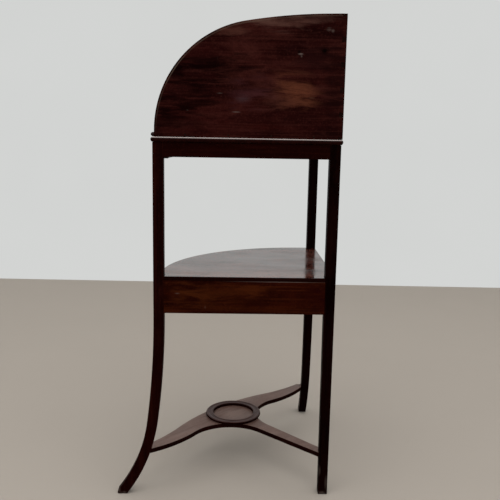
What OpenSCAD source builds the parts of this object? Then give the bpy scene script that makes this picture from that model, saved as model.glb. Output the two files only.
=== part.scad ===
// Corner washstand in mahogany: three legs, a pierced top between two shaped backboards,
// a shelf over a bow-fronted case with one small drawer, and a three-armed stretcher.
// The wall corner is at +Y and the bow front faces -Y. The two wall sides run at 45 degrees.
// The origin is on the floor, in the middle of the bounding box.

/* [Overall] */
// Height of the washing surface above the floor
top_h = 835; // [820:1:860]
// Length of each wall side, over the outer faces of the legs
side_l = 405; // [395:1:430]
// Height of the shelf above the floor
shelf_h = 521.5; // [505:0.5:540]
// Height of the stretcher's upper face above the floor
stretcher_h = 102; // [92:0.5:112]

/* [Legs] */
// Thickness of the square legs
leg_w = 23.5; // [22.5:0.25:24.5]
// Thickness of each leg at the floor, where its inner faces have tapered
foot_w = 21.5; // [20:0.25:22]
// Height at which the front legs begin to sweep outwards
sweep_start_h = 430; // [415:5:435]
// Radius of the gentle upper part of the sweep, on the outer edge
sweep_upper_r = 1940; // [1850:10:2050]
// Angle at which the gentle part of the sweep gives way to the tighter part
sweep_turn = 7.5; // [7:0.1:8]
// Radius of the tighter lower part of the sweep, on the outer edge
sweep_lower_r = 360; // [345:5:375]
// Length by which the toe of each front leg is cut back to a blunt end
toe_cut = 5.5; // [3:0.5:7]
// How much tighter the inner edge of the sweep turns than an even thickness would need
foot_thinning = 14; // [8:1:18]

/* [Top board] */
// Thickness of the top's upper layer, which carries the upper bead of the bow edge
upper_layer_t = 9; // [8:0.5:10]
// Thickness of the top's lower layer, whose bead also runs along the walls
lower_layer_t = 12; // [11:0.5:13]
// Overhang of the top beyond the outer faces of the legs
top_over = 4; // [3:0.5:5]
// Distance of the centre of the top's bow from each wall side
top_bow_in = 20; // [12:1:28]
// Diameter of the basin hole
basin_d = 266; // [256:2:270]
// Width of the wood between the basin hole and the bow edge
basin_front = 38.2; // [34:0.2:42]
// Diameter of the two cup holes
cup_d = 74; // [68:1:76]
// Distance of a cup hole's centre from its own wall side
cup_in = 60; // [59:0.5:63]
// Width of the wood between the basin hole and each cup hole
cup_gap = 16.8; // [12:0.2:20]

/* [Backboards] */
// Height of the backboards above the rebate they stand in
board_h = 258; // [250:1:266]
// Thickness of the backboards
board_t = 9.5; // [8.5:0.25:10.5]
// How far the backboards stand outside the outer faces of the legs
board_out = 1.5; // [0.5:0.25:2.5]
// How far each backboard stops short of the front face of its leg
board_short = 4; // [2:0.5:8]
// Radius of the flat arc along the top of a backboard
board_top_r = 1225; // [1150:5:1300]
// Radius of the round shoulder of a backboard
board_shoulder_r = 232; // [222:1:240]
// Number of dovetails where the backboards meet
board_tails = 5; // [4:1:6]
// Width of each dovetail pin at its narrow face
board_pin_w = 9; // [7:0.5:12]

/* [Rails and case] */
// Thickness of the straight rails along the walls
rail_t = 17; // [15:0.5:18]
// Depth of the straight rails under the top
upper_rail_h = 31; // [27:1:34]
// Depth of the bowed apron under the top
apron_h = 35; // [32:1:40]
// Thickness of the bowed apron
apron_t = 18; // [16:0.5:20]
// Thickness of the shelf board
shelf_t = 9; // [8:0.5:11]
// Depth of the case under the shelf board
case_h = 75; // [72:1:82]
// Distance of the centre of the bow front from each wall side
bow_in = 38; // [34:1:42]
// How far the shelf's bow stops behind the front face of a leg
bow_setback = 11.5; // [10.5:0.25:12]
// How far the case front stands behind the shelf's edge
front_setback = 2; // [1:0.25:2.5]
// Thickness of the bowed rail under the drawer
case_rail_t = 12; // [11:0.5:14]
// Width of the bowed rail under the drawer, front to back
case_rail_w = 45; // [42:1:50]
// Width of the two divisions beside the drawer
division_w = 10; // [8:0.5:13]
// Depth of the two divisions, front to back
division_d = 22; // [20:0.5:26]
// Thickness of the two dummy drawer fronts
dummy_t = 16; // [14:0.5:18]
// Length of the mortise and tenon joints on the straight rails
tenon_l = 9; // [7:0.5:9.5]
// Thickness of every tenon
tenon_t = 5; // [4:0.25:5.5]
// Distance of the straight rails' tenons from the wall side
tenon_in = 5; // [4.5:0.25:5.5]
// Shoulder above and below every tenon
tenon_shoulder = 3; // [2:0.5:4]
// Length of the stub tenons on the bowed pieces
stub_l = 6; // [4:0.5:7]
// Clearance all round a glued tenon or dovetail
glue_gap = 0.1; // [0.05:0.01:0.15]

/* [Drawer] */
// Width of the drawer front
drawer_w = 190; // [180:1:196]
// Gap between the drawer front and the opening, on every side
front_gap = 0.8; // [0.6:0.1:1.1]
// Running gap under the drawer and beside it
run_gap = 0.3; // [0.25:0.05:0.5]
// Thickness of the drawer front at its two ends
front_end_t = 13; // [12.5:0.25:15]
// Room behind the drawer's rear corners, front to back, as far as the straight rails
rear_gap = 24; // [18:1:40]
// Thickness of the drawer's sides and back
drawer_side_t = 7; // [6:0.25:8]
// How far the sides stop below the upper edge of the front
side_drop = 8; // [6:0.5:12]
// Thickness of the drawer's bottom board
bottom_t = 5; // [4:0.25:6]
// Height of the bottom board above the lower edges of the sides
bottom_lift = 6; // [5.5:0.25:7]
// Depth of the groove that holds the bottom board
groove_d = 3; // [2:0.25:3.5]
// Length of the lapped dovetails in the drawer front
lap_l = 8; // [7:0.25:8.5]
// Number of dovetails at each corner of the drawer
drawer_tails = 2; // [2:1:3]
// Width of the drawer's dovetail pins at their narrow face
drawer_pin_w = 5; // [4:0.25:6]
// Thickness of the runners under the drawer
runner_t = 10; // [9:0.5:12]
// Width of a runner inside the drawer opening
runner_w = 16; // [14:0.5:20]
// Height of the guides beside the drawer
guide_h = 14; // [10:0.5:20]
// Height of the drawer stops
stop_h = 4.5; // [4:0.1:5]
// Thickness of the cock beads round the drawer fronts
bead_t = 2.5; // [2:0.1:3]
// Depth to which the cock beads are let into the fronts
bead_let = 3; // [2.5:0.1:3.5]
// How far the cock beads stand out from the fronts
bead_out = 1.2; // [0.8:0.1:1.6]

/* [Knobs] */
// Diameter of a knob
knob_d = 19; // [16:0.5:22]
// Projection of a knob from the drawer front
knob_l = 19; // [17:0.5:22]
// Diameter of the knob's flange
knob_flange_d = 14; // [12:0.5:18]
// Diameter of the threaded post behind a knob
post_d = 5; // [4:0.25:6]
// Width of the square nut on the post
nut_w = 10; // [9:0.5:12]
// Thickness of the square nut
nut_t = 3; // [2.5:0.25:4]

/* [Stretcher] */
// Thickness of the stretcher board
stretcher_t = 11; // [9:0.5:12]
// Width of the rear arm at the corner leg
stem_w = 21; // [18:0.5:23]
// Width of the rear arm where its hollow curves begin
waist_w = 33; // [30:1:38]
// Radius of the hollow curves between the rear arm and the front arms
hollow_r = 105; // [98:1:110]
// Distance of the hollow curves' deepest points behind the middle of the ring
arm_in = 7; // [5:0.5:9]
// Height of the swell on the front arms' wall-side edge, above the hollow curves' deepest points
swell_rise = 8; // [6:0.5:10]
// Distance by which the front arms stop short of the legs' outer edge
arm_short = 5; // [4:0.5:6]
// Distance of the stretcher's front edge from the middle of the ring
hub_reach = 61; // [58:0.5:66]
// Radius of the swelling part of the stretcher's front edge
edge_r = 540; // [500:5:600]
// Half distance between the points where the front edge turns hollow
edge_turn = 155; // [140:1:170]
// Distance of the ring's middle in front of the line between the front legs
ring_ahead = 2.5; // [0:0.5:5]
// Outer diameter of the turned ring
ring_d = 143; // [136:1:150]
// Inner diameter of the turned ring
ring_bore_d = 106; // [98:1:110]
// Height of the turned ring
ring_h = 8; // [7:0.25:10]
// Length of the stretcher's tenons
stretcher_tenon_l = 8; // [6:0.5:9]

/* [Fasteners] */
// Diameter of the nails
nail_d = 1.8; // [1.5:0.1:2.2]
// Distance of the first nail of a backboard from the wall corner
nail_start = 60; // [50:1:70]
// Distance of the last nail of a backboard from the front end of its wall side
nail_end = 70; // [60:1:90]
// Length of the nails that hold the backboards
nail_l = 20; // [17:1:21]
// Diameter of the wood screws under the top
screw_d = 4; // [3.5:0.25:4.5]
// Length of the wood screws under the top
screw_l = 26; // [24:1:30]
// Width of the square glue blocks under the top
block_w = 12; // [10:0.5:14]
// Length of the glue blocks
block_l = 45; // [35:1:60]

/* [Hidden] */
$fn = 96;

// Colours as the finish shows them
mahogany = "#3a1712";
mahogany_dark = "#24100d";
mahogany_worn = "#5a3a30";
oak = "#8a6a45";
brass = "#b08d4a";
iron = "#3b3a38";

// Heights of the tiers
leg_top = top_h - upper_layer_t - lower_layer_t;
rebate_z = top_h - upper_layer_t;
stand_h = rebate_z + board_h;
case_top = shelf_h - shelf_t;
case_z = case_top - case_h;
runner_top = case_z + case_rail_t;
stretcher_z = stretcher_h - stretcher_t;

// Bow front, with its centre on the diagonal
shelf_r = side_l - bow_setback - bow_in;
front_r = shelf_r - front_setback;
top_r = side_l + top_over - top_bow_in;
diagonal = sqrt(2);

// Centres of the holes in the top, as distances from the wall sides
basin_in = top_bow_in + (top_r - basin_d / 2 - basin_front) / diagonal;
cup_reach = (basin_d + cup_d) / 2 + cup_gap;
cup_along = basin_in + sqrt(pow(cup_reach, 2) - pow(basin_in - cup_in, 2));

// The knob of the drawer reaches furthest forward, and the top's rounded corner furthest back
corner_round = lower_layer_t / 2;
back_reach = corner_round - (corner_round - top_over) * diagonal;
front_reach = bow_in * diagonal + front_r + knob_l;
corner_y = (front_reach - back_reach) / 2;
bow_y = corner_y - bow_in * diagonal;

// Sweep of the front legs: two tangent arcs, whose centres lie outside the leg
upper_c = [side_l + sweep_upper_r, sweep_start_h];
lower_c = upper_c - (sweep_upper_r - sweep_lower_r) * [cos(sweep_turn), sin(sweep_turn)];
function sweep_out(z) = lower_c[0] - sqrt(pow(sweep_lower_r, 2) - pow(lower_c[1] - z, 2)) - side_l;
function leg_t(z) = foot_w + (leg_w - foot_w) * z / case_z;
toe_x = side_l + sweep_out(0) - toe_cut;

// Ring of the stretcher, on the line between the front legs
arm_z = stretcher_z + stretcher_t / 2;
arm_reach = side_l + sweep_out(arm_z);
ring_s = (leg_t(arm_z) / 2 + arm_reach - leg_w / 2) / diagonal + ring_ahead;
ring_y = corner_y - ring_s;

// Drawer sizes
open_hw = drawer_w / 2 + front_gap;
box_hw = open_hw - run_gap;
front_z = runner_top + front_gap;
front_h = case_h - case_rail_t - 2 * front_gap;
side_z = runner_top + run_gap;
side_h = front_z + front_h - side_drop - side_z;
front_end_y = bow_y - sqrt(pow(front_r, 2) - pow(drawer_w / 2, 2));
front_back_y = front_end_y + front_end_t;
drawer_back_y = corner_y - rail_t * diagonal - box_hw - rear_gap;
drawer_l = drawer_back_y - front_back_y;
bottom_z = side_z + bottom_lift;
back_z = bottom_z + bottom_t;
dovetail_slope = 1 / 6;
knob_z = front_z + front_h / 2;

// Dummy fronts, between the divisions and the legs
dummy_in = open_hw + division_w;
dummy_a0 = asin(dummy_in / front_r);
dummy_a1 = 45 + asin((bow_in - leg_w) / front_r);
dummy_a = (dummy_a0 + dummy_a1) / 2;

// Over-length for cuts and for pieces that are trimmed later
over = 1;
far = 700;

// How far shapes that are joined run into each other
overlap = 3;

// How far an arc is moved towards the arc beside it, so that the two cross instead of only touching
crossing = 0.03;

// Places pieces drawn from the wall corner, with X along the left wall and Y along the right
module in_corner() {
    translate([0, corner_y, 0]) rotate([0, 0, -135]) children();
}

// Places pieces drawn round the centre of the bow front
module in_bow() {
    translate([0, bow_y, 0]) children();
}

// The same piece on the other wall
module other_wall() {
    mirror([1, -1, 0]) children();
}

// Flat outline over the floor, in from both walls by the given distance
module within_walls(inset) {
    translate([0, corner_y]) rotate(-135) translate([inset, inset]) square(far);
}

// Upright board along the left wall, from an outline with its width along X and its height along Z
module wall_board(y, t) {
    translate([0, y + t, 0]) rotate([90, 0, 0]) linear_extrude(t) children();
}

module band(r_in, r_out) {
    difference() {
        circle(r_out, $fn = 256);
        circle(r_in, $fn = 256);
    }
}

// Everything to the outside of one edge of a front leg, which is drawn at an offset from its outer edge
module beyond_leg_edge(offset, tighter = 0) {
    reach = 1.1 * sweep_upper_r;
    turn_way = [cos(sweep_turn), sin(sweep_turn)];
    turn_point = upper_c - reach * turn_way;
    translate(lower_c - (tighter + crossing) * turn_way) circle(sweep_lower_r + offset - tighter, $fn = 256);
    intersection() {
        translate(upper_c) circle(sweep_upper_r + offset, $fn = 512);
        polygon([turn_point, upper_c, [upper_c[0], leg_top], [turn_point[0], leg_top]]);
    }
    translate([side_l - offset, sweep_start_h]) square([far, leg_top - sweep_start_h]);
}

// Outline of a front leg along its wall: straight, then two tangent arcs that sweep outwards
module sabre_outline() {
    intersection() {
        difference() {
            beyond_leg_edge(leg_w, foot_thinning);
            beyond_leg_edge(0);
        }
        square([toe_x, leg_top]);
    }
}

// Outline of a leg's tapered thickness, from the wall face inwards
module taper_outline(grow) {
    polygon([[-grow, 0], [foot_w + grow, 0], [leg_w + grow, case_z],
        [leg_w + grow, leg_top], [-grow, leg_top]]);
}

// Leg of the left wall's front corner, in the corner frame
module front_leg_blank() {
    intersection() {
        wall_board(0, leg_w) sabre_outline();
        rotate([90, 0, 90]) linear_extrude(far + side_l) taper_outline(0);
    }
}

module corner_leg_blank(grow = 0) {
    intersection() {
        wall_board(-grow, leg_w + 2 * grow) taper_outline(grow);
        translate([-grow, 0, 0]) rotate([90, 0, 90]) linear_extrude(leg_w + 2 * grow) taper_outline(grow);
    }
}

// Tenons of a straight rail of the left wall
module rail_tenons(z, h, grow = 0) {
    start = leg_w - tenon_l - grow;
    translate([start, tenon_in - grow, z + tenon_shoulder - grow])
        cube([side_l - 2 * start, tenon_t + 2 * grow, h - 2 * tenon_shoulder + 2 * grow]);
}

// Stub tenon of a bowed piece, into the left front leg
module bow_tenon(z, h, grow = 0) {
    bow_face = bow_in + sqrt(pow(front_r, 2) - pow(bow_in - leg_w, 2));
    behind_face = 1;
    translate([bow_face - behind_face - tenon_t - grow, leg_w - stub_l - grow, z + tenon_shoulder - grow])
        cube([tenon_t + 2 * grow, stub_l + overlap, h - 2 * tenon_shoulder + 2 * grow]);
}

// Every mortise of a front leg on the left wall
module front_leg_mortises() {
    rail_tenons(leg_top - upper_rail_h, upper_rail_h, glue_gap);
    rail_tenons(case_z, case_h, glue_gap);
    bow_tenon(leg_top - apron_h, apron_h, glue_gap);
    bow_tenon(case_z, case_rail_t, glue_gap);
    bow_tenon(runner_top, case_h - case_rail_t, glue_gap);
    arm_tenon(glue_gap);
}

module front_leg() {
    difference() {
        front_leg_blank();
        front_leg_mortises();
    }
}

module front_leg_left() {
    color(mahogany_dark) in_corner() front_leg();
}

module front_leg_right() {
    color(mahogany_dark) in_corner() other_wall() front_leg();
}

module corner_leg() {
    color(mahogany_dark) in_corner() difference() {
        corner_leg_blank();
        for (m = [0, 1]) mirror([m, -m, 0]) {
            rail_tenons(leg_top - upper_rail_h, upper_rail_h, glue_gap);
            rail_tenons(case_z, case_h, glue_gap);
        }
        stem_tenon(glue_gap);
    }
}

module straight_rail(z, h) {
    difference() {
        union() {
            translate([leg_w, 0, z]) cube([side_l - 2 * leg_w, rail_t, h]);
            rail_tenons(z, h);
        }
        if (z + h == leg_top) rail_screw_holes();
    }
}

module upper_rail_left() {
    color(mahogany) in_corner() straight_rail(leg_top - upper_rail_h, upper_rail_h);
}

module upper_rail_right() {
    color(mahogany) in_corner() other_wall() straight_rail(leg_top - upper_rail_h, upper_rail_h);
}

module lower_rail_left() {
    color(mahogany) in_corner() straight_rail(case_z, case_h);
}

module lower_rail_right() {
    color(mahogany) in_corner() other_wall() straight_rail(case_z, case_h);
}

// Outlines of the three legs' square upper parts, seen from above
module leg_squares(grow) {
    translate([0, corner_y]) rotate(-135) {
        translate([-grow, -grow]) square(leg_w + 2 * grow);
        translate([side_l - leg_w - grow, -grow]) square(leg_w + 2 * grow);
        translate([-grow, side_l - leg_w - grow]) square(leg_w + 2 * grow);
    }
}

// Bowed piece between the front legs, from its bow surface inwards
module bowed_piece(z, h, depth) {
    translate([0, 0, z]) linear_extrude(h) difference() {
        intersection() {
            translate([0, bow_y]) band(front_r - depth, front_r);
            within_walls(rail_t);
        }
        leg_squares(0);
    }
}

module both_bow_tenons(z, h) {
    in_corner() for (m = [0, 1]) mirror([m, -m, 0]) bow_tenon(z, h);
}

module upper_apron() {
    color(mahogany) {
        bowed_piece(leg_top - apron_h, apron_h, apron_t);
        both_bow_tenons(leg_top - apron_h, apron_h);
    }
}

module case_rail() {
    color(mahogany) {
        bowed_piece(case_z, case_rail_t, case_rail_w);
        both_bow_tenons(case_z, case_rail_t);
    }
}

module shelf_board() {
    color(mahogany_worn) translate([0, 0, case_top]) linear_extrude(shelf_t) difference() {
        intersection() {
            translate([0, bow_y]) circle(shelf_r, $fn = 256);
            within_walls(0);
        }
        leg_squares(glue_gap);
    }
}

// Disc with a rounded edge, for the bowed edge of a layer of the top
module beaded_disc(r, t) {
    rotate_extrude($fn = 200) {
        square([r - t / 2, t]);
        translate([r - t / 2, t / 2]) circle(t / 2, $fn = 48);
    }
}

// Rounded edge of the lower layer along both walls
module wall_bead(t) {
    at = t / 2 - top_over;
    translate([at, at, 0]) cube([far, far, t]);
    translate([at, at, t / 2]) {
        sphere(t / 2);
        rotate([0, 90, 0]) cylinder(r = t / 2, h = far);
        rotate([-90, 0, 0]) cylinder(r = t / 2, h = far);
    }
}

// Holes for the basin and the two cups, right through both layers
module top_holes() {
    h = upper_layer_t + lower_layer_t + 2 * over;
    translate([basin_in, basin_in, leg_top - over]) cylinder(d = basin_d, h = h);
    for (m = [0, 1]) mirror([m, -m, 0])
        translate([cup_along, cup_in, leg_top - over]) cylinder(d = cup_d, h = h);
}

module top_board() {
    inner = board_t - board_out + glue_gap;
    color(mahogany_worn) in_corner() difference() {
        union() {
            translate([0, 0, leg_top]) intersection() {
                translate([top_bow_in, top_bow_in, 0]) beaded_disc(top_r, lower_layer_t);
                wall_bead(lower_layer_t);
            }
            translate([0, 0, rebate_z]) intersection() {
                translate([top_bow_in, top_bow_in, 0]) beaded_disc(top_r, upper_layer_t);
                translate([inner, inner, 0]) cube([far, far, upper_layer_t]);
            }
        }
        top_holes();
        for (m = [0, 1]) mirror([m, -m, 0]) {
            wall_nails(glue_gap / 2);
            rail_screws(glue_gap / 2);
        }
    }
}

// Outline of a backboard, with its width from the corner along X and its height along Z
module backboard_outline() {
    reach = side_l - board_short;
    shoulder_x = reach - board_shoulder_r;
    centres_apart = board_top_r - board_shoulder_r + crossing;
    turn = asin(shoulder_x / centres_apart);
    shoulder_z = stand_h - board_top_r + centres_apart * cos(turn);
    intersection() {
        translate([-board_out, rebate_z]) square([reach + board_out, board_h]);
        translate([0, stand_h - board_top_r]) circle(board_top_r, $fn = 400);
        union() {
            translate([shoulder_x, shoulder_z]) circle(board_shoulder_r, $fn = 200);
            translate([-board_out, rebate_z]) square([reach + board_out, shoulder_z - rebate_z]);
            translate([-board_out, rebate_z]) square([shoulder_x + board_out, board_h]);
            polygon([[shoulder_x, shoulder_z], [shoulder_x, stand_h],
                [shoulder_x + board_h * tan(turn), shoulder_z + board_h]]);
        }
    }
}

// Dovetail pins along an edge: X runs from the tails' tips to their roots, Y along the edge
module pins(n, h, t, narrow, grow) {
    flare = (t + over) * dovetail_slope;
    intersection() {
        translate([-over, 0]) square([t + 2 * over, h]);
        for (k = [0 : n]) translate([0, k * h / n]) polygon([
            [-over, -narrow / 2 - grow + over * dovetail_slope], [t + over, -narrow / 2 - grow - flare],
            [t + over, narrow / 2 + grow + flare], [-over, narrow / 2 + grow - over * dovetail_slope]]);
    }
}

// The pins of the backboard corner, upright in the plane of the right backboard
module board_pins(grow) {
    translate([-board_out - over, -board_out, rebate_z]) rotate([90, 0, 90])
        linear_extrude(board_t + 2 * over) pins(board_tails, board_h, board_t, board_pin_w, grow);
}

// Backboard with its outer edge at the corner, on the left wall
module board_blank() {
    wall_board(-board_out, board_t) backboard_outline();
}

module corner_zone() {
    translate([-board_out - over, -board_out - over, rebate_z - over])
        cube([board_t + over, board_t + 2 * over, board_h + 2 * over]);
}

module backboard_left() {
    color(mahogany) in_corner() difference() {
        union() {
            difference() {
                board_blank();
                corner_zone();
            }
            intersection() {
                board_blank();
                corner_zone();
                board_pins(0);
            }
        }
        wall_nails(glue_gap / 2);
    }
}

module backboard_right() {
    color(mahogany) in_corner() difference() {
        other_wall() board_blank();
        board_pins(glue_gap);
        other_wall() wall_nails(glue_gap / 2);
    }
}

// Nails through the foot of the left backboard into the edge of the top's upper layer
module wall_nails(grow = 0) {
    gaps = 3;
    step = (side_l - nail_end - nail_start) / gaps;
    for (k = [0 : gaps])
        translate([nail_start + k * step, -board_out, rebate_z + upper_layer_t / 2])
            rotate([-90, 0, 0]) {
                cylinder(d = nail_d + 2 * grow, h = nail_l, $fn = 24);
                cylinder(d = 2 * nail_d + 2 * grow, h = nail_d / 2, $fn = 24);
            }
}

module backboard_nails() {
    color(iron) in_corner() for (m = [0, 1]) mirror([m, -m, 0]) wall_nails();
}

// Wood screws that rise from the straight rails, three quarters of the way into the top's lower layer
screw_at = [side_l * 0.3, side_l * 0.7];
screw_head_z = leg_top + 0.75 * lower_layer_t - screw_l;
module rail_screws(grow = 0) {
    for (x = screw_at) translate([x, rail_t / 2, screw_head_z]) {
        cylinder(d = screw_d + 2 * grow, h = screw_l, $fn = 32);
        cylinder(d = 2 * screw_d + 2 * grow, h = screw_d / 2, $fn = 32);
    }
}

// The screws stand in counterbores in the rails
module rail_screw_holes() {
    from_z = leg_top - upper_rail_h - over;
    rail_screws(glue_gap / 2);
    for (x = screw_at) translate([x, rail_t / 2, from_z])
        cylinder(d = 2 * screw_d + glue_gap, h = screw_head_z - from_z + glue_gap, $fn = 32);
}

module top_screws() {
    color(iron) in_corner() for (m = [0, 1]) mirror([m, -m, 0]) rail_screws();
}

// Glue blocks between the straight rails and the top, clear of the holes in the top
module glue_blocks() {
    block_at = [side_l * 0.15, side_l * 0.55];
    color(oak) in_corner() for (m = [0, 1]) mirror([m, -m, 0])
        for (x = block_at) translate([x - block_l / 2, rail_t, leg_top - block_w])
            cube([block_l, block_w, block_w]);
}

// Division between the drawer and a dummy front
module division() {
    color(mahogany) translate([0, 0, runner_top]) linear_extrude(case_h - case_rail_t) intersection() {
        translate([0, bow_y]) band(front_r - division_d, front_r);
        translate([-open_hw - division_w, -far]) square([division_w, far]);
    }
}

module division_left() {
    division();
}

module division_right() {
    mirror([1, 0, 0]) division();
}

// Part of the bow's thickness, between two angles from the middle of the bow and two radii
module bow_sector(a0, a1, r_in, r_out, z, h) {
    in_bow() translate([0, 0, z]) rotate([0, 0, a0 - 90]) rotate_extrude(angle = a1 - a0, $fn = 256)
        translate([r_in, 0]) square([r_out - r_in, h]);
}

// Cock bead round a front, as a frame of the given reach beyond the bow surface
module cock_bead(a0, a1, z, h, reach, margin = 0) {
    strip = asin(bead_t / front_r);
    difference() {
        bow_sector(a0 - margin, a1 + margin, front_r - bead_let, front_r + reach,
            z - margin, h + 2 * margin);
        bow_sector(a0 + strip, a1 - strip, front_r - bead_let - over, front_r + reach + over,
            z + bead_t, h - 2 * bead_t);
    }
}

module dummy_cock_bead(reach) {
    inset = asin(bead_t / 2 / front_r);
    cock_bead(dummy_a0 + inset, dummy_a1 - inset, front_z, front_h, reach);
}

module knob_axis(a) {
    in_bow() rotate([0, 0, a]) translate([0, -front_r, knob_z]) rotate([90, 0, 0]) children();
}

// Dummy drawer front on the right
module dummy_front() {
    color(mahogany) difference() {
        union() {
            intersection() {
                bowed_piece(runner_top, case_h - case_rail_t, dummy_t);
                translate([dummy_in, -far, 0]) cube([far, far, leg_top]);
            }
            in_corner() other_wall() bow_tenon(runner_top, case_h - case_rail_t);
        }
        dummy_cock_bead(over);
        knob_axis(dummy_a) translate([0, 0, -dummy_t - over])
            cylinder(d = post_d + glue_gap, h = dummy_t + 2 * over, $fn = 48);
    }
}

module dummy_front_left() {
    mirror([1, 0, 0]) dummy_front();
}

module dummy_front_right() {
    dummy_front();
}

module dummy_bead_left() {
    color(mahogany_dark) mirror([1, 0, 0]) dummy_cock_bead(bead_out);
}

module dummy_bead_right() {
    color(mahogany_dark) dummy_cock_bead(bead_out);
}

// Turned brass knob with its threaded post, pointing along +Z from the face it stands on
module knob(front_t) {
    neck_r = knob_d / 5;
    flange_t = 1.2;
    step_w = 1.5;
    step_t = 1;
    post_end = 1.5;
    ball_half_h = knob_d * 0.36;
    ball_z = knob_l - ball_half_h;
    rotate_extrude($fn = 64) {
        square([knob_flange_d / 2, flange_t]);
        translate([0, flange_t]) square([knob_flange_d / 2 - step_w, step_t]);
        square([neck_r, ball_z]);
        intersection() {
            translate([0, ball_z]) circle(d = knob_d);
            translate([0, ball_z - ball_half_h]) square([knob_d, 2 * ball_half_h]);
        }
    }
    translate([0, 0, -front_t - nut_t - post_end])
        cylinder(d = post_d, h = front_t + nut_t + post_end + over, $fn = 48);
}

// Square nut behind a front of the given thickness
module knob_nut(front_t) {
    translate([0, 0, -front_t - nut_t]) difference() {
        translate([-nut_w / 2, -nut_w / 2, 0]) cube([nut_w, nut_w, nut_t]);
        translate([0, 0, -over]) cylinder(d = post_d + glue_gap, h = nut_t + 2 * over, $fn = 48);
    }
}

module dummy_knob_left() {
    color(brass) knob_axis(-dummy_a) knob(dummy_t);
}

module dummy_knob_right() {
    color(brass) knob_axis(dummy_a) knob(dummy_t);
}

// The nuts' flat faces bridge the hollow backs of the dummy fronts
nut_bridge = pow(nut_w / 2, 2) / 2 / (front_r - dummy_t);
module dummy_knob_nuts() {
    color(iron) for (a = [-dummy_a, dummy_a]) knob_axis(a) knob_nut(dummy_t + nut_bridge);
}

// Runner and guide on the left of the drawer
module case_strip(x, w, z, h, r) {
    translate([0, 0, z]) linear_extrude(h) intersection() {
        translate([x, -far]) square([w, 2 * far]);
        translate([0, bow_y]) circle(r, $fn = 200);
        within_walls(rail_t);
    }
}

module runner() {
    color(oak) case_strip(-open_hw - division_w, division_w + runner_w,
        runner_top - runner_t, runner_t, front_r - case_rail_w);
}

module guide() {
    color(oak) case_strip(-open_hw - division_w, division_w, runner_top, guide_h, front_r - division_d);
}

module runner_left() {
    runner();
}

module runner_right() {
    mirror([1, 0, 0]) runner();
}

module guide_left() {
    guide();
}

module guide_right() {
    mirror([1, 0, 0]) guide();
}

// Stops on the case rail, just behind the drawer front
module drawer_stops() {
    stop_d = 14;
    stop_w = 26;
    stop_x = drawer_w * 0.22;
    color(oak) for (s = [-1, 1])
        translate([s * stop_x - stop_w / 2, front_back_y + run_gap, runner_top])
            cube([stop_w, stop_d, stop_h]);
}

// Tails of a drawer side in its own plane: X from the tips to the roots, Y up the side
module tails(t, grow) {
    difference() {
        square([t, side_h]);
        pins(drawer_tails, side_h, t, drawer_pin_w, grow);
    }
}

module drawer_front_tails(grow) {
    translate([-over - drawer_w / 2, front_back_y - lap_l, side_z]) rotate([90, 0, 90])
        linear_extrude(drawer_side_t + over + drawer_w / 2 - box_hw) tails(lap_l + grow, 0);
}

module drawer_bottom_board(grow = 0) {
    translate([-box_hw + drawer_side_t - groove_d - grow, front_back_y - groove_d - grow, bottom_z])
        cube([2 * (box_hw - drawer_side_t + groove_d + grow), drawer_l + groove_d + grow, bottom_t]);
}

module drawer_cock_bead(reach, margin = 0) {
    a = asin(drawer_w / 2 / (front_r + bead_out));
    cock_bead(-a, a, front_z, front_h, reach, margin);
}

module drawer_front() {
    color(mahogany) difference() {
        translate([0, 0, front_z]) linear_extrude(front_h) intersection() {
            translate([0, bow_y]) circle(front_r, $fn = 256);
            translate([-drawer_w / 2, front_back_y - far]) square([drawer_w, far]);
        }
        for (m = [0, 1]) mirror([m, 0, 0]) drawer_front_tails(glue_gap);
        drawer_bottom_board(glue_gap);
        drawer_cock_bead(over, over);
        knob_axis(0) translate([0, 0, -front_mid_t - over])
            cylinder(d = post_d + glue_gap, h = front_mid_t + 2 * over, $fn = 48);
    }
}

// Left side of the drawer
module drawer_side() {
    x = -box_hw;
    color(oak) difference() {
        translate([x, front_back_y - lap_l, side_z]) cube([drawer_side_t, lap_l + drawer_l, side_h]);
        translate([x - over, front_back_y - lap_l, side_z]) rotate([90, 0, 90])
            linear_extrude(drawer_side_t + 2 * over)
                pins(drawer_tails, side_h, lap_l, drawer_pin_w, glue_gap);
        back_pins(glue_gap);
        drawer_bottom_board(glue_gap);
    }
}

// Pins at the back of the drawer, through the whole width of the drawer
module back_pins(grow) {
    h = side_z + side_h - back_z;
    translate([-box_hw - over, drawer_back_y, back_z]) mirror([0, 1, 0]) rotate([90, 0, 90])
        linear_extrude(2 * box_hw + 2 * over) pins(drawer_tails, h, drawer_side_t, drawer_pin_w, grow);
}

module drawer_side_left() {
    drawer_side();
}

module drawer_side_right() {
    mirror([1, 0, 0]) drawer_side();
}

module drawer_back() {
    h = side_z + side_h - back_z;
    y = drawer_back_y - drawer_side_t;
    inner = box_hw - drawer_side_t;
    color(oak) {
        translate([-inner, y, back_z]) cube([2 * inner, drawer_side_t, h]);
        intersection() {
            translate([-box_hw, y, back_z]) cube([2 * box_hw, drawer_side_t, h]);
            back_pins(0);
        }
    }
}

module drawer_bottom() {
    color(oak) difference() {
        drawer_bottom_board();
        drawer_nails(glue_gap / 2);
    }
}

// Nails up through the bottom board into the back
module drawer_nails(grow = 0) {
    nail_x = drawer_w * 0.35;
    for (s = [-1, 0, 1]) translate([s * nail_x, drawer_back_y - drawer_side_t / 2, bottom_z])
        cylinder(d = nail_d + 2 * grow, h = bottom_t, $fn = 24);
}

module drawer_bottom_nails() {
    color(iron) drawer_nails();
}

module drawer_bead() {
    color(mahogany_dark) drawer_cock_bead(bead_out);
}

// Thickness of the drawer front in its middle
front_mid_t = front_back_y - bow_y + front_r;

module drawer_knob() {
    color(brass) knob_axis(0) knob(front_mid_t);
}

module drawer_knob_nut() {
    color(iron) knob_axis(0) knob_nut(front_mid_t);
}

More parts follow.
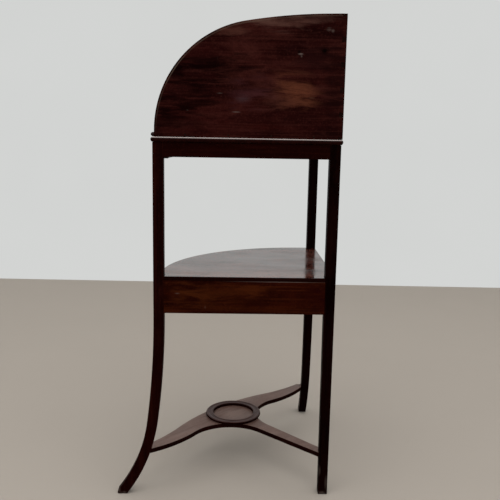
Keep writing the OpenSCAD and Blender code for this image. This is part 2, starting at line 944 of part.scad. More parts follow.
// Outline of the stretcher, with the ring's centre at the origin and the bow front towards -Y
module stretcher_outline() {
    edge_a = asin(edge_turn / edge_r);
    leg_x = (arm_reach - leg_w - leg_t(arm_z)) / diagonal;
    // The front edge's hollow starts a little steeper than its swell ends, so that the two cross
    steeper = 0.8;
    hollow_a = edge_a + steeper;
    hollow_edge_r = (leg_x - edge_turn) / sin(hollow_a);
    turn_y = hub_reach - edge_r * (1 - cos(edge_a));
    end_y = turn_y - hollow_edge_r * (1 - cos(hollow_a));
    // On the wall side a swell, halfway to the leg, follows the hollow curve from join_x
    hollow_x = waist_w / 2 + hollow_r;
    swell_x = (hollow_x + leg_x) / 2;
    swell_r = (pow(swell_x - hollow_x, 2) + pow(swell_rise, 2)) / (2 * swell_rise) - hollow_r;
    join_x = hollow_x + (swell_x - hollow_x) * hollow_r / (hollow_r + swell_r);
    // Front arms, swelling towards the ring
    difference() {
        union() {
            translate([-join_x, -hub_reach]) square([2 * join_x, hub_reach + arm_in]);
            for (m = [0, 1]) mirror([m, 0]) intersection() {
                translate([0, -hub_reach]) square([leg_x + leg_w, 2 * hub_reach]);
                translate([swell_x, arm_in + swell_rise + crossing - swell_r]) circle(swell_r, $fn = 200);
            }
        }
        for (s = [-1, 1]) translate([s * leg_x, -end_y - hollow_edge_r]) circle(hollow_edge_r, $fn = 200);
        difference() {
            translate([-edge_turn - overlap, -far]) square([2 * (edge_turn + overlap), far]);
            translate([0, edge_r - hub_reach]) circle(edge_r, $fn = 200);
        }
    }
    // Rear arm
    polygon([[-waist_w / 2, 0], [-waist_w / 2, arm_in + hollow_r], [-stem_w / 2, ring_s],
        [stem_w / 2, ring_s], [waist_w / 2, arm_in + hollow_r], [waist_w / 2, 0]]);
    // Hollow curves between them
    for (m = [0, 1]) mirror([m, 0]) difference() {
        translate([0, arm_in - over]) square([join_x, hollow_r + over]);
        translate([hollow_x, arm_in + hollow_r]) circle(hollow_r, $fn = 120);
    }
}

// Region of the floor in which the front arms end, clear of the legs' inner faces
module arm_region() {
    arm_end = leg_t(stretcher_h) + glue_gap;
    translate([0, corner_y]) rotate(-135) {
        translate([arm_end, arm_end]) square(arm_reach - arm_end - arm_short);
        square(ring_s / 2);
    }
}

// Tenon of the left front arm
module arm_tenon(grow = 0) {
    t = stretcher_t / 2;
    w = leg_w / 2;
    from_x = arm_reach - arm_short - tenon_shoulder - w;
    translate([from_x - grow, leg_t(arm_z) - stretcher_tenon_l - grow, arm_z - t / 2 - grow])
        cube([w + 2 * grow, stretcher_tenon_l + overlap, t + 2 * grow]);
}

// Tenon of the rear arm, along the diagonal into the corner leg
module stem_tenon(grow = 0) {
    t = stretcher_t / 2;
    w = stem_w * 0.4;
    inner = leg_t(arm_z) * diagonal;
    rotate([0, 0, 45]) translate([inner - stretcher_tenon_l - grow, -w / 2 - grow, arm_z - t / 2 - grow])
        cube([stretcher_tenon_l + overlap, w + 2 * grow, t + 2 * grow]);
}

module stretcher_board() {
    color(mahogany_worn) {
        difference() {
            translate([0, 0, stretcher_z]) linear_extrude(stretcher_t) intersection() {
                translate([0, ring_y]) stretcher_outline();
                arm_region();
            }
            in_corner() corner_leg_blank(glue_gap);
        }
        in_corner() {
            stem_tenon();
            arm_tenon();
            other_wall() arm_tenon();
        }
    }
}

// Turned ring that keeps a jug in its place
module stretcher_ring() {
    edge = ring_h / 2;
    rim_w = (ring_d - ring_bore_d) / 2;
    fillet_w = rim_w * 0.3;
    flat_h = ring_h * 0.8;
    color(mahogany_dark) translate([0, ring_y, stretcher_h]) rotate_extrude($fn = 128)
        translate([ring_bore_d / 2, 0]) {
            square([rim_w - edge, flat_h]);
            square([fillet_w, ring_h]);
            translate([rim_w - edge, edge]) circle(edge, $fn = 48);
        }
}

corner_leg();
front_leg_left();
front_leg_right();
top_board();
backboard_left();
backboard_right();
backboard_nails();
upper_rail_left();
upper_rail_right();
upper_apron();
glue_blocks();
top_screws();
shelf_board();
lower_rail_left();
lower_rail_right();
case_rail();
division_left();
division_right();
dummy_front_left();
dummy_front_right();
dummy_bead_left();
dummy_bead_right();
dummy_knob_left();
dummy_knob_right();
dummy_knob_nuts();
runner_left();
runner_right();
guide_left();
guide_right();
drawer_stops();
stretcher_board();
stretcher_ring();
drawer_front();
drawer_side_left();
drawer_side_right();
drawer_back();
drawer_bottom();
drawer_bead();
drawer_knob();
drawer_knob_nut();
drawer_bottom_nails();
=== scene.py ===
"""Looks of the corner washstand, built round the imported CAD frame. Metres, row frame."""

import math

import bmesh
import bpy
from mathutils import Matrix, Vector
from mathutils.geometry import tessellate_polygon


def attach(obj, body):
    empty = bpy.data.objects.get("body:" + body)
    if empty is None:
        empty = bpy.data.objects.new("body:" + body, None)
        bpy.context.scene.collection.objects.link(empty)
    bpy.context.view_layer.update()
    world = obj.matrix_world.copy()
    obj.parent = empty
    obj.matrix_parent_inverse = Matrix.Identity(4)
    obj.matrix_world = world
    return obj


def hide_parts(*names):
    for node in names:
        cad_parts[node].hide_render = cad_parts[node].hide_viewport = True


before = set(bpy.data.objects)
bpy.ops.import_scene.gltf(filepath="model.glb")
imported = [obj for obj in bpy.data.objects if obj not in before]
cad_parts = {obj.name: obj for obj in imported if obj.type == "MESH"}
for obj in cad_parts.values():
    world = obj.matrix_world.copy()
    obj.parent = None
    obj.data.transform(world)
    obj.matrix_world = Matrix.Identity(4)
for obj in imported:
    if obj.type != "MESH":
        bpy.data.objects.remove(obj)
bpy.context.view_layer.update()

MM = 0.001
ROOT2 = math.sqrt(2)

# Driving sizes of the CAD part, in millimetres
TOP_H = 835
SIDE_L = 405
SHELF_H = 521.5
STRETCHER_H = 102
LEG_W = 23.5
FOOT_W = 21.5
SWEEP_START_H = 430
SWEEP_UPPER_R = 1940
SWEEP_TURN = math.radians(7.5)
SWEEP_LOWER_R = 360
TOE_CUT = 5.5
FOOT_THINNING = 14
UPPER_LAYER_T = 9
LOWER_LAYER_T = 12
TOP_OVER = 4
TOP_BOW_IN = 20
BASIN_R = 133
BASIN_FRONT = 38.2
CUP_R = 37
CUP_IN = 60
CUP_GAP = 16.8
BOARD_H = 258
BOARD_T = 9.5
BOARD_OUT = 1.5
BOARD_SHORT = 4
BOARD_TOP_R = 1225
BOARD_SHOULDER_R = 232
BOARD_TAILS = 5
DOVETAIL_SLOPE = 1 / 6
RAIL_T = 17
SHELF_T = 9
CASE_H = 75
CASE_RAIL_T = 12
BOW_IN = 38
BOW_SETBACK = 11.5
FRONT_SETBACK = 2
DIVISION_W = 10
GLUE_GAP = 0.1
DRAWER_W = 190
FRONT_GAP = 0.8
BEAD_T = 2.5
BEAD_LET = 3
BEAD_OUT = 1.2
KNOB_R = 9.5
KNOB_L = 19
STRETCHER_T = 11
RING_AHEAD = 2.5
RING_R = 71.5
RING_BORE_R = 53
RING_H = 8

# Sizes that follow from them
REBATE_Z = TOP_H - UPPER_LAYER_T
LEG_TOP = REBATE_Z - LOWER_LAYER_T
STAND_H = REBATE_Z + BOARD_H
CASE_TOP = SHELF_H - SHELF_T
CASE_Z = CASE_TOP - CASE_H
SHELF_R = SIDE_L - BOW_SETBACK - BOW_IN
FRONT_R = SHELF_R - FRONT_SETBACK
FRONT_Z = CASE_Z + CASE_RAIL_T + FRONT_GAP
FRONT_H = CASE_H - CASE_RAIL_T - 2 * FRONT_GAP
DUMMY_IN = DRAWER_W / 2 + FRONT_GAP + DIVISION_W
KNOB_Z = FRONT_Z + FRONT_H / 2
TOP_R = SIDE_L + TOP_OVER - TOP_BOW_IN
BOARD_INNER = BOARD_T - BOARD_OUT + GLUE_GAP
BASIN_IN = TOP_BOW_IN + (TOP_R - BASIN_R - BASIN_FRONT) / ROOT2
CUP_REACH = BASIN_R + CUP_R + CUP_GAP
CUP_ALONG = BASIN_IN + math.sqrt(CUP_REACH ** 2 - (BASIN_IN - CUP_IN) ** 2)

# The drawer's knob reaches furthest forward, and the top's rounded corner furthest back
CORNER_ROUND = LOWER_LAYER_T / 2
BACK_REACH = CORNER_ROUND - (CORNER_ROUND - TOP_OVER) * ROOT2
CORNER_Y = (BOW_IN * ROOT2 + FRONT_R + KNOB_L - BACK_REACH) / 2
BOW_Y = CORNER_Y - BOW_IN * ROOT2

# Sizes of the looks alone, in millimetres
LEG_ROUND = 1.3
CORNER_LEG_ROUND = 1.2
CASE_ROUND = 0.8
BOARD_ROUND = 0.7
SHELF_ROUND = 0.9
EDGE_ROUND = 0.5
DRAWER_ROUND = 0.35
IRON_ROUND = 0.15
UPPER_LAYER_CORNER = 0.5
RAIL_INTO_LEG = 2
RAIL_BACK = 0.4
SOCKET_END = 9
CORNER_JOINT = 13
RIM_IN = 4.0
RIM_W = 2.0

# Steps along the curves
BOW_STEPS = 120
SIDE_STEPS = 24
SWEEP_STEPS = 40
UPPER_SWEEP_STEPS = 14
BEAD_STEPS = 40
BEAD_END_STEPS = 6
HOLE_STEPS = 128
KNOB_STEPS = 64
RING_STEPS = 160

# Directions, in the row frame
UP = Vector((0, 0, 1))
OUT_LEFT = Vector((-1, 1, 0)) / ROOT2
OUT_RIGHT = Vector((1, 1, 0)) / ROOT2


# Places

def at_row(x, y, z):
    return Vector((x, y, z)) * MM


def at_wall(x, y, z):
    """A point of the wall corner's frame: x along the left wall, y along the right wall."""
    return at_row((y - x) / ROOT2, CORNER_Y - (x + y) / ROOT2, z)


def at_other_wall(x, y, z):
    return at_wall(y, x, z)


def at_bow(angle, radius, z):
    """A point round the centre of the bow front; angle 0 is the middle of the front."""
    return at_row(radius * math.sin(angle), BOW_Y - radius * math.cos(angle), z)


def at_ring(x, y, z):
    return at_row(x, RING_Y + y, STRETCHER_H + z)


# Curves

def turns(n):
    """n angles, evenly round a full turn."""
    return [2 * math.pi * k / n for k in range(n)]


def spread(a, b, n):
    """n + 1 even steps from a to b."""
    return [a + (b - a) * k / n for k in range(n + 1)]


def sweep_point(centre, r, a):
    """A point (along the wall, height) of a leg's arc; angle 0 is level with its centre."""
    return centre[0] - r * math.cos(a), centre[1] - r * math.sin(a)


def bow_points(centre, r, start):
    """A bow from wall to wall, about a centre that lies as far in from both walls."""
    return [(centre + r * math.cos(a), centre + r * math.sin(a))
            for a in spread(start, math.pi / 2 - start, BOW_STEPS)]


def half_round(t, z):
    """Profile of a fully rounded edge on a board of thickness t."""
    return [(t / 2 * (1 - math.cos(a)), z + t / 2 * (1 + math.sin(a)))
            for a in spread(-math.pi / 2, math.pi / 2, 10)]


def eased(t, z, r):
    """Profile of a square edge with its two corners rounded."""
    low = [(r * (1 - math.cos(a)), z + r * (1 + math.sin(a))) for a in spread(-math.pi / 2, 0, 4)]
    high = [(d, 2 * z + t - h) for d, h in reversed(low)]
    return low + high


def hole_profile(low, high):
    """Profile of a hole through a board, eased below and rounded above."""
    ease, full, part = 0.8, 1.6, 0.5
    return [(ease, low), (0, low + ease), (0, high - full), (part, high - part), (full, high)]


def with_flats(profile):
    """A profile with a flat step at both ends, where the shading of its rounded edge stops."""
    flat = 2.5
    (first, low), (last, high) = profile[0], profile[-1]
    return [(first + flat, low), *profile, (last + flat, high)]


# Meshes

def new_object(name, data):
    """An object in the scene's collection."""
    made = bpy.data.objects.new(name, data)
    bpy.context.scene.collection.objects.link(made)
    return made


def round_edges(piece, bevel, segments, sharp, tight):
    """Rounds the sharp edges, but not those whose middle is in a tight place, such as a joint."""
    rounder = piece.modifiers.new("rounded edges", "BEVEL")
    rounder.width = bevel * MM
    rounder.segments = segments
    rounder.limit_method = "WEIGHT" if tight else "ANGLE"
    rounder.angle_limit = math.radians(sharp)
    rounder.use_clamp_overlap = False
    rounder.miter_outer = "MITER_ARC"
    if tight:
        mesh = piece.data
        weights = mesh.attributes.new("bevel_weight_edge", "FLOAT", "EDGE")
        for edge in mesh.edges:
            middle = sum((mesh.vertices[i].co for i in edge.vertices), Vector()) / 2
            weights.data[edge.index].value = float(edge.use_edge_sharp and not tight(middle))


def finish_mesh(name, bm, bevel=0.0, segments=3, sharp=35.0, tight=None):
    """Turns a bmesh into a piece with clean normals, and rounded edges if bevel is given in mm."""
    weld = 0.002 * MM
    bmesh.ops.remove_doubles(bm, verts=bm.verts, dist=weld)
    bmesh.ops.recalc_face_normals(bm, faces=bm.faces)
    mesh = bpy.data.meshes.new(name)
    bm.to_mesh(mesh)
    bm.free()
    for face in mesh.polygons:
        face.use_smooth = True
    mesh.set_sharp_from_angle(angle=math.radians(sharp))
    piece = new_object(name, mesh)
    if bevel:
        round_edges(piece, bevel, segments, sharp, tight)
    weigher = piece.modifiers.new("even normals", "WEIGHTED_NORMAL")
    weigher.keep_sharp = bool(tight) or not bevel
    return piece


def ring_faces(bm, lower, upper):
    """Faces between two closed rows of corners, without those that have shrunk to nothing."""
    n = len(lower)
    for i in range(n):
        j = (i + 1) % n
        corners = [lower[i], lower[j], upper[j], upper[i]]
        if len(set(corners)) == 4:
            bm.faces.new(corners)


def cap(bm, loops):
    """Closes flat loops; the second and later ones are holes."""
    same_place = 0.001 * MM
    clean = [[v for i, v in enumerate(loop) if (v.co - loop[i - 1].co).length > same_place]
             for loop in loops]
    verts = [v for loop in clean for v in loop]
    for corners in tessellate_polygon([[v.co for v in loop] for loop in clean]):
        bm.faces.new([verts[i] for i in corners])


def loft(name, loops, hole_loops=(), **finish):
    """A solid through closed loops of points, with holes that run from the first cap to the last."""
    bm = bmesh.new()
    bores = []
    for rows in (loops, *hole_loops):
        rings = [[bm.verts.new(p) for p in row] for row in rows]
        for a, b in zip(rings, rings[1:]):
            ring_faces(bm, a, b)
        bores.append((rings[0], rings[-1]))
    for ends in zip(*bores):
        cap(bm, ends)
    return finish_mesh(name, bm, **finish)


def plate(name, outline, profile, place, holes=()):
    """A board from outline(inset) and a profile of (inset, z) steps; each hole is (x, y, r)."""
    loops = [[place(x, y, z) for x, y in outline(inset)] for inset, z in with_flats(profile)]
    bore = with_flats(hole_profile(profile[0][1], profile[-1][1]))
    hole_loops = [[[place(x + (r + d) * math.cos(a), y + (r + d) * math.sin(a), z)
                    for a in turns(HOLE_STEPS)] for d, z in bore] for x, y, r in holes]
    return loft(name, loops, hole_loops)


def lathe(name, profile, place, n, **finish):
    """A closed profile of (r, z) turned round the z axis of place, in n steps."""
    bm = bmesh.new()
    rings = [[bm.verts.new(place(r * math.cos(a), r * math.sin(a), z)) for a in turns(n)]
             for r, z in profile]
    for a, b in zip(rings, rings[1:] + rings[:1]):
        ring_faces(bm, a, b)
    return finish_mesh(name, bm, **finish)


def solid_box(name, place, low, high, **finish):
    """A straight board between two corners of its own frame."""
    (x0, y0, z0), (x1, y1, z1) = low, high
    outline = [(x0, y0), (x1, y0), (x1, y1), (x0, y1)]
    return loft(name, [[place(x, y, z) for x, y in outline] for z in (z0, z1)], **finish)


def softened(node, bevel, shape=None, **finish):
    """The CAD solid's own form with its edges rounded; shape moves its corners first."""
    weld, flat_angle = 0.02 * MM, math.radians(0.6)
    bm = bmesh.new()
    bm.from_mesh(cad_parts[node].data)
    bmesh.ops.remove_doubles(bm, verts=bm.verts, dist=weld)
    if shape:
        for vertex in bm.verts:
            vertex.co = shape(vertex.co)
    bmesh.ops.dissolve_limit(bm, angle_limit=flat_angle, verts=bm.verts, edges=bm.edges)
    return finish_mesh(node + "_piece", bm, bevel=bevel, segments=2, **finish)


# Outline of the front legs, seen at their wall side

UPPER_C = (SIDE_L + SWEEP_UPPER_R, SWEEP_START_H)
LOWER_C = sweep_point(UPPER_C, SWEEP_UPPER_R - SWEEP_LOWER_R, SWEEP_TURN)
INNER_C = sweep_point(LOWER_C, FOOT_THINNING, SWEEP_TURN)
INNER_R = SWEEP_LOWER_R + LEG_W - FOOT_THINNING


def leg_thickness(z):
    """Thickness of a leg across its wall side; it tapers from the case to the floor."""
    return min(LEG_W, FOOT_W + (LEG_W - FOOT_W) * z / CASE_Z)


def sweep_reach(z):
    """How far along the wall a front leg's outer face stands, in its lower arc."""
    return LOWER_C[0] - math.sqrt(SWEEP_LOWER_R ** 2 - (LOWER_C[1] - z) ** 2)


TOE_X = sweep_reach(0) - TOE_CUT

# The ring stands a little ahead of the line between the middles of the front legs
ARM_Z = STRETCHER_H - STRETCHER_T / 2
RING_IN = (leg_thickness(ARM_Z) / 2 + sweep_reach(ARM_Z) - LEG_W / 2) / ROOT2 + RING_AHEAD
RING_Y = CORNER_Y - RING_IN


# Material maker

class Surface:
    """A procedural material, built node by node."""

    def __init__(self, name):
        self.material = bpy.data.materials.new(name)
        self.material.use_nodes = True
        self.tree = self.material.node_tree
        self.shader = self.tree.nodes["Principled BSDF"]
        self.point = self.add("ShaderNodeTexCoord").outputs["Object"]

    def add(self, kind, inputs=None, **settings):
        node = self.tree.nodes.new(kind)
        for key, value in settings.items():
            setattr(node, key, value)
        for key, value in (inputs or {}).items():
            self.set(node, key, value)
        return node

    def set(self, node, key, value):
        socket = node.inputs[key]
        if isinstance(value, bpy.types.NodeSocket):
            self.tree.links.new(value, socket)
        else:
            socket.default_value = value

    def shade(self, **inputs):
        for key, value in inputs.items():
            self.set(self.shader, key.replace("_", " "), value)

    def math(self, operation, a, b=0.0):
        return self.add("ShaderNodeMath", {0: a, 1: b}, operation=operation).outputs[0]

    def product(self, first, *others):
        for other in others:
            first = self.math("MULTIPLY", first, other)
        return first

    def shift(self, offset):
        """Moves the pattern, so that pieces of the same wood differ."""
        self.point = self.add("ShaderNodeVectorMath", {0: self.point, 1: offset}).outputs[0]

    def stretch(self, rotation, scale):
        """Object coordinates turned so that the grain runs along X, then scaled."""
        turned = self.add("ShaderNodeMapping", {"Vector": self.point, "Rotation": rotation})
        sized = self.add("ShaderNodeMapping", {"Vector": turned.outputs[0], "Scale": scale})
        return sized.outputs[0]

    def noise(self, vector, scale, detail, rough=0.55, distort=0.0):
        node = self.add("ShaderNodeTexNoise", {"Vector": vector, "Scale": scale, "Detail": detail,
                                               "Roughness": rough, "Distortion": distort})
        return node.outputs["Fac"]

    def ramp(self, value, low, high, out_low=0.0, out_high=1.0):
        node = self.add("ShaderNodeMapRange", {"Value": value, "From Min": low, "From Max": high,
                                               "To Min": out_low, "To Max": out_high})
        node.interpolation_type = "SMOOTHSTEP"
        return node.outputs[0]

    def mix(self, factor, a, b):
        """Colour b over colour a, by the factor."""
        node = self.add("ShaderNodeMix", data_type="RGBA")
        self.set(node, 0, factor)
        for key, value in ((6, a), (7, b)):
            self.set(node, key, value if isinstance(value, bpy.types.NodeSocket) else (*value, 1.0))
        return node.outputs[2]

    def upward(self, low, high):
        """1 on faces that look up, 0 on the others; the limits are heights of their normals."""
        normal = self.add("ShaderNodeNewGeometry").outputs["Normal"]
        z = self.add("ShaderNodeSeparateXYZ", {"Vector": normal}).outputs["Z"]
        return self.ramp(z, low, high)

    def near(self, centre, size, wobble=0.0):
        """1 at a point, falling to 0 at the given distances from it."""
        moved = self.add("ShaderNodeVectorMath", {0: self.point, 1: centre}, operation="SUBTRACT")
        scaled = self.add("ShaderNodeVectorMath", {0: moved.outputs[0], 1: [1 / s for s in size]},
                          operation="MULTIPLY")
        far = self.add("ShaderNodeVectorMath", {0: scaled.outputs[0]}, operation="LENGTH")
        return self.ramp(self.math("ADD", far.outputs["Value"], wobble), 0.0, 1.0, 1.0, 0.0)

    def along_arc(self, centre, radius, width):
        """1 on an arc round a point, falling to 0 at the given distance from it."""
        far = self.add("ShaderNodeVectorMath", {0: self.point, 1: centre}, operation="DISTANCE")
        off = self.math("SUBTRACT", far.outputs["Value"], radius)
        return self.ramp(self.math("ABSOLUTE", off), 0.0, width, 1.0, 0.0)

    def bump(self, height, distance, strength, after=None):
        inputs = {"Height": height, "Distance": distance, "Strength": strength}
        if after is not None:
            inputs["Normal"] = after
        return self.add("ShaderNodeBump", inputs).outputs[0]


# Wood

# Rotations that bring a grain direction onto X
ALONG_X = (0.0, 0.0, 0.0)
ALONG_Z = (0.0, math.pi / 2, 0.0)
ALONG_LEFT = (0.0, 0.0, -math.radians(45))
ALONG_RIGHT = (0.0, 0.0, math.radians(45))
ALONG_Y = (0.0, 0.0, math.pi / 2)

# How often a noise changes in a metre: along the grain, then twice across it
FIGURE = (3.0, 16.0, 16.0)
STREAKS = (5.0, 190.0, 190.0)
PORES = (70.0, 1500.0, 1500.0)
CLOUDS = (6.0, 11.0, 11.0)
BLOTS = (11.0, 30.0, 30.0)
FRINGES = (12.0, 60.0, 60.0)
DULL_STREAKS = (4.0, 34.0, 34.0)
SCRATCHES = (14.0, 420.0, 420.0)
MOTTLE = 240.0

PORE_SHADE = 0.35
SCRATCH_DEPTH = 0.06 * MM
PORE_DEPTH = -0.12 * MM


def wood_figure(s, grain, tones, streaks, clouds, blotch):
    """Colour of the bare figure: broad bands, light streaks, dark clouds, blots and a mottle."""
    dark, mid, light = tones
    bands = s.noise(s.stretch(grain, FIGURE), 1.6, 4.0, 0.6, 0.5)
    colour = s.mix(s.ramp(bands, 0.34, 0.70), dark, mid)
    colour = s.mix(s.ramp(streaks, 0.42, 0.78, 0.0, 0.55), colour, light)
    colour = s.mix(s.ramp(clouds, 0.30, 0.52, 0.55, 0.0), colour, dark)
    if blotch:
        blots = s.noise(s.stretch(grain, BLOTS), 1.0, 4.0, 0.6, 0.6)
        colour = s.mix(s.ramp(blots, 0.50, 0.72, 0.0, blotch), colour, light)
        colour = s.mix(s.ramp(blots, 0.28, 0.46, blotch, 0.0), colour, dark)
    mottle = s.noise(s.point, MOTTLE, 3.0, 0.6)
    colour = s.mix(s.ramp(mottle, 0.52, 0.74, 0.0, 0.40), colour, light)
    return s.mix(s.ramp(mottle, 0.26, 0.48, 0.35, 0.0), colour, dark)


def with_patches(s, colour, clouds, wobble, patches):
    """Soft changes of tone with a ragged edge."""
    for centre, size, tint, amount in patches:
        ragged = s.ramp(clouds, 0.32, 0.6, 0.45, 1.0)
        colour = s.mix(s.product(s.near(centre, size, wobble), ragged, amount), colour, tint)
    return colour


def with_marks(s, colour, streaks, marks):
    """Small marks with a clear edge: mostly scuffs, also a painted sheen on the right backboard and a
    painted highlight on the right rail.
    """
    for centre, size, tint, amount in marks:
        streaked = s.ramp(streaks, 0.35, 0.6, 0.5, 1.6)
        colour = s.mix(s.product(s.near(centre, size), streaked, amount), colour, tint)
    return colour


def with_rims(s, colour, clouds, rims):
    """Lighter lines along an arc, strongest at its middle."""
    for centre, radius, middle, reach, tint, amount in rims:
        line = s.along_arc(centre, radius, RIM_W * MM)
        broken = s.ramp(clouds, 0.35, 0.6, 0.3, 1.0)
        colour = s.mix(s.product(line, s.near(middle, [reach] * 3), broken, amount), colour, tint)
    return colour


def wood(name, grain, tones, rough=0.36, specular=0.005, seed=0.0, blotch=0.0, pores=0.35,
         haze=0.0, patches=(), marks=(), rims=(), dust_and_highlight=None):
    """Old polished wood with rubbed and dusty places; some of its patches and marks, and its upward
    tint on the ledge, are painted light.

    The tones are its dark, middle and light one. Haze is how much rougher the dull streaks of
    the polish are. Dust_and_highlight is a tint, its amount, and the limits of the faces it lies
    on: dust on the top board, and a painted highlight on the ledge's bead."""
    s = Surface(name)
    true_point = s.point
    s.shift((seed, 1.7 * seed, 0.6 * seed))
    streaks = s.noise(s.stretch(grain, STREAKS), 1.0, 3.0, 0.55, 0.15)
    clouds = s.noise(s.stretch(grain, CLOUDS), 1.0, 5.0, 0.62)
    pits = s.ramp(s.noise(s.stretch(grain, PORES), 1.0, 1.0, 0.4), 0.60, 0.72)
    colour = wood_figure(s, grain, tones, streaks, clouds, blotch)
    wobble = 0.0
    if patches:
        fringes = s.noise(s.stretch(grain, FRINGES), 1.0, 4.0, 0.65, 0.4)
        wobble = s.ramp(fringes, 0.30, 0.70, 0.55, -0.35)
    # The wear and the painted light lie at places of the frame, so the pattern's shift ends here
    s.point = true_point
    colour = with_patches(s, colour, clouds, wobble, patches)
    colour = s.mix(s.product(pits, pores), colour, [c * PORE_SHADE for c in tones[0]])
    colour = with_marks(s, colour, streaks, marks)
    colour = with_rims(s, colour, clouds, rims)
    roughness = s.ramp(clouds, 0.3, 0.7, rough - 0.07, rough + 0.10)
    if haze:
        dull = s.noise(s.stretch(grain, DULL_STREAKS), 1.0, 2.5, 0.5, 0.3)
        roughness = s.math("ADD", roughness, s.ramp(dull, 0.36, 0.68, 0.0, haze))
    if dust_and_highlight:
        tint, amount, low, high = dust_and_highlight
        dust_and_highlight_share = s.product(s.upward(low, high), s.ramp(clouds, 0.15, 0.6, 0.7, 1.0), amount)
        colour = s.mix(dust_and_highlight_share, colour, tint)
        roughness = s.math("ADD", roughness, s.product(dust_and_highlight_share, 0.12))
    scratches = s.noise(s.stretch(grain, SCRATCHES), 1.0, 2.0, 0.5)
    normal = s.bump(s.ramp(scratches, 0.35, 0.75), SCRATCH_DEPTH, 0.5)
    normal = s.bump(pits, PORE_DEPTH, 0.5, after=normal)
    s.shade(Base_Color=colour, Roughness=roughness, Specular_IOR_Level=specular, Normal=normal)
    return s.material


def oak(name, grain, seed=0.0):
    """Bare, aged drawer lining with open grain and rubbed dirt."""
    s = Surface(name)
    s.shift((seed, seed, 1.3 * seed))
    bands = s.noise(s.stretch(grain, (3.0, 26.0, 26.0)), 1.0, 4.0, 0.6, 0.8)
    streaks = s.noise(s.stretch(grain, (9.0, 420.0, 420.0)), 1.0, 3.0, 0.6)
    dirt = s.noise(s.stretch(grain, (7.0, 13.0, 13.0)), 1.0, 5.0, 0.65)
    colour = s.mix(s.ramp(bands, 0.3, 0.7), (0.30, 0.175, 0.085), (0.42, 0.27, 0.14))
    colour = s.mix(s.ramp(streaks, 0.52, 0.68, 0.0, 0.55), colour, (0.17, 0.095, 0.045))
    colour = s.mix(s.ramp(dirt, 0.5, 0.78, 0.0, 0.5), colour, (0.12, 0.07, 0.04))
    s.shade(Base_Color=colour, Roughness=s.ramp(streaks, 0.4, 0.7, 0.62, 0.78),
            Specular_IOR_Level=0.3, Normal=s.bump(streaks, 0.12 * MM, 0.6))
    return s.material


# Metal

def brass(name):
    s = Surface(name)
    tarnish = s.noise(s.point, 160.0, 5.0, 0.6)
    brushed = s.noise(s.stretch(ALONG_X, (60.0, 60.0, 2500.0)), 1.0, 2.0, 0.5)
    colour = s.mix(s.ramp(tarnish, 0.35, 0.72), (0.62, 0.43, 0.17), (0.30, 0.19, 0.075))
    s.shade(Base_Color=colour, Metallic=1.0, Roughness=s.ramp(tarnish, 0.3, 0.75, 0.24, 0.48),
            Normal=s.bump(brushed, 0.02 * MM, 0.6))
    return s.material


def iron(name):
    s = Surface(name)
    rust = s.noise(s.point, 420.0, 6.0, 0.65)
    colour = s.mix(s.ramp(rust, 0.42, 0.66), (0.0075, 0.0030, 0.0026), (0.020, 0.0075, 0.0048))
    s.shade(Base_Color=colour, Metallic=0.2, Roughness=s.ramp(rust, 0.3, 0.7, 0.60, 0.80),
            Specular_IOR_Level=0.05, Normal=s.bump(rust, 0.08 * MM, 0.7))
    return s.material


# Dark, middle and light tone of each wood
BOARD = ((0.0080, 0.0010, 0.0010), (0.0250, 0.0042, 0.0035), (0.0500, 0.0125, 0.0096))
LEG = ((0.0050, 0.0005, 0.0004), (0.0120, 0.0013, 0.0008), (0.0230, 0.0042, 0.0026))
# Leg tones with painted shade, for the far leg and the corner leg, which stand in shade
SHADED_LEG = [[c * 0.4 for c in tone] for tone in LEG]
UPPER = ((0.0060, 0.0006, 0.0004), (0.0120, 0.0013, 0.0008), (0.0220, 0.0036, 0.0022))
CASE = ((0.0095, 0.0010, 0.0005), (0.0265, 0.0036, 0.0011), (0.0520, 0.0110, 0.0030))
FRONT = ((0.018, 0.003, 0.0015), (0.058, 0.013, 0.0048), (0.100, 0.029, 0.011))
TOP = ((0.010, 0.0014, 0.0010), (0.022, 0.0036, 0.0026), (0.042, 0.010, 0.007))
SHELF = ((0.024, 0.005, 0.0035), (0.072, 0.019, 0.012), (0.150, 0.058, 0.044))
# Dark polish of the boards' sides; on the ring's sides it is painted shade
EDGE = ((0.0050, 0.0008, 0.0006), (0.0100, 0.0018, 0.0012), (0.020, 0.005, 0.003))
END_GRAIN = ((0.005, 0.0014, 0.0012), (0.011, 0.0032, 0.0026), (0.022, 0.008, 0.006))
STRETCHER = ((0.115, 0.060, 0.045), (0.165, 0.098, 0.078), (0.215, 0.140, 0.115))
RING = ((0.043, 0.020, 0.018), (0.072, 0.039, 0.034), (0.105, 0.064, 0.056))
BEAD = ((0.004, 0.001, 0.0008), (0.012, 0.003, 0.002), (0.025, 0.008, 0.005))

# Tints of the wear and the dust, and of the painted light
# Light scuffs; also the tint of a painted highlight on the right rail's top arris
SCUFF_AND_HIGHLIGHT = (0.17, 0.135, 0.12)
RUBBED = (0.055, 0.040, 0.034)
LIGHT_RIM_LINE = (0.115, 0.083, 0.062)
WORN_SHELF = (0.175, 0.068, 0.050)
# Painted light in the stretcher's dish, lifting the shade under the ring's rim
DISH_PAINTED_LIGHT = (0.205, 0.134, 0.110)
FILM = ((0.060, 0.028, 0.021), 0.4, 0.75, 0.98)
# A painted highlight along the top of the ledge's bead, laid on its upward faces like a dust tint
BEAD_PAINTED_HIGHLIGHT = ((0.475, 0.415, 0.395), 0.9, 0.42, 0.80)

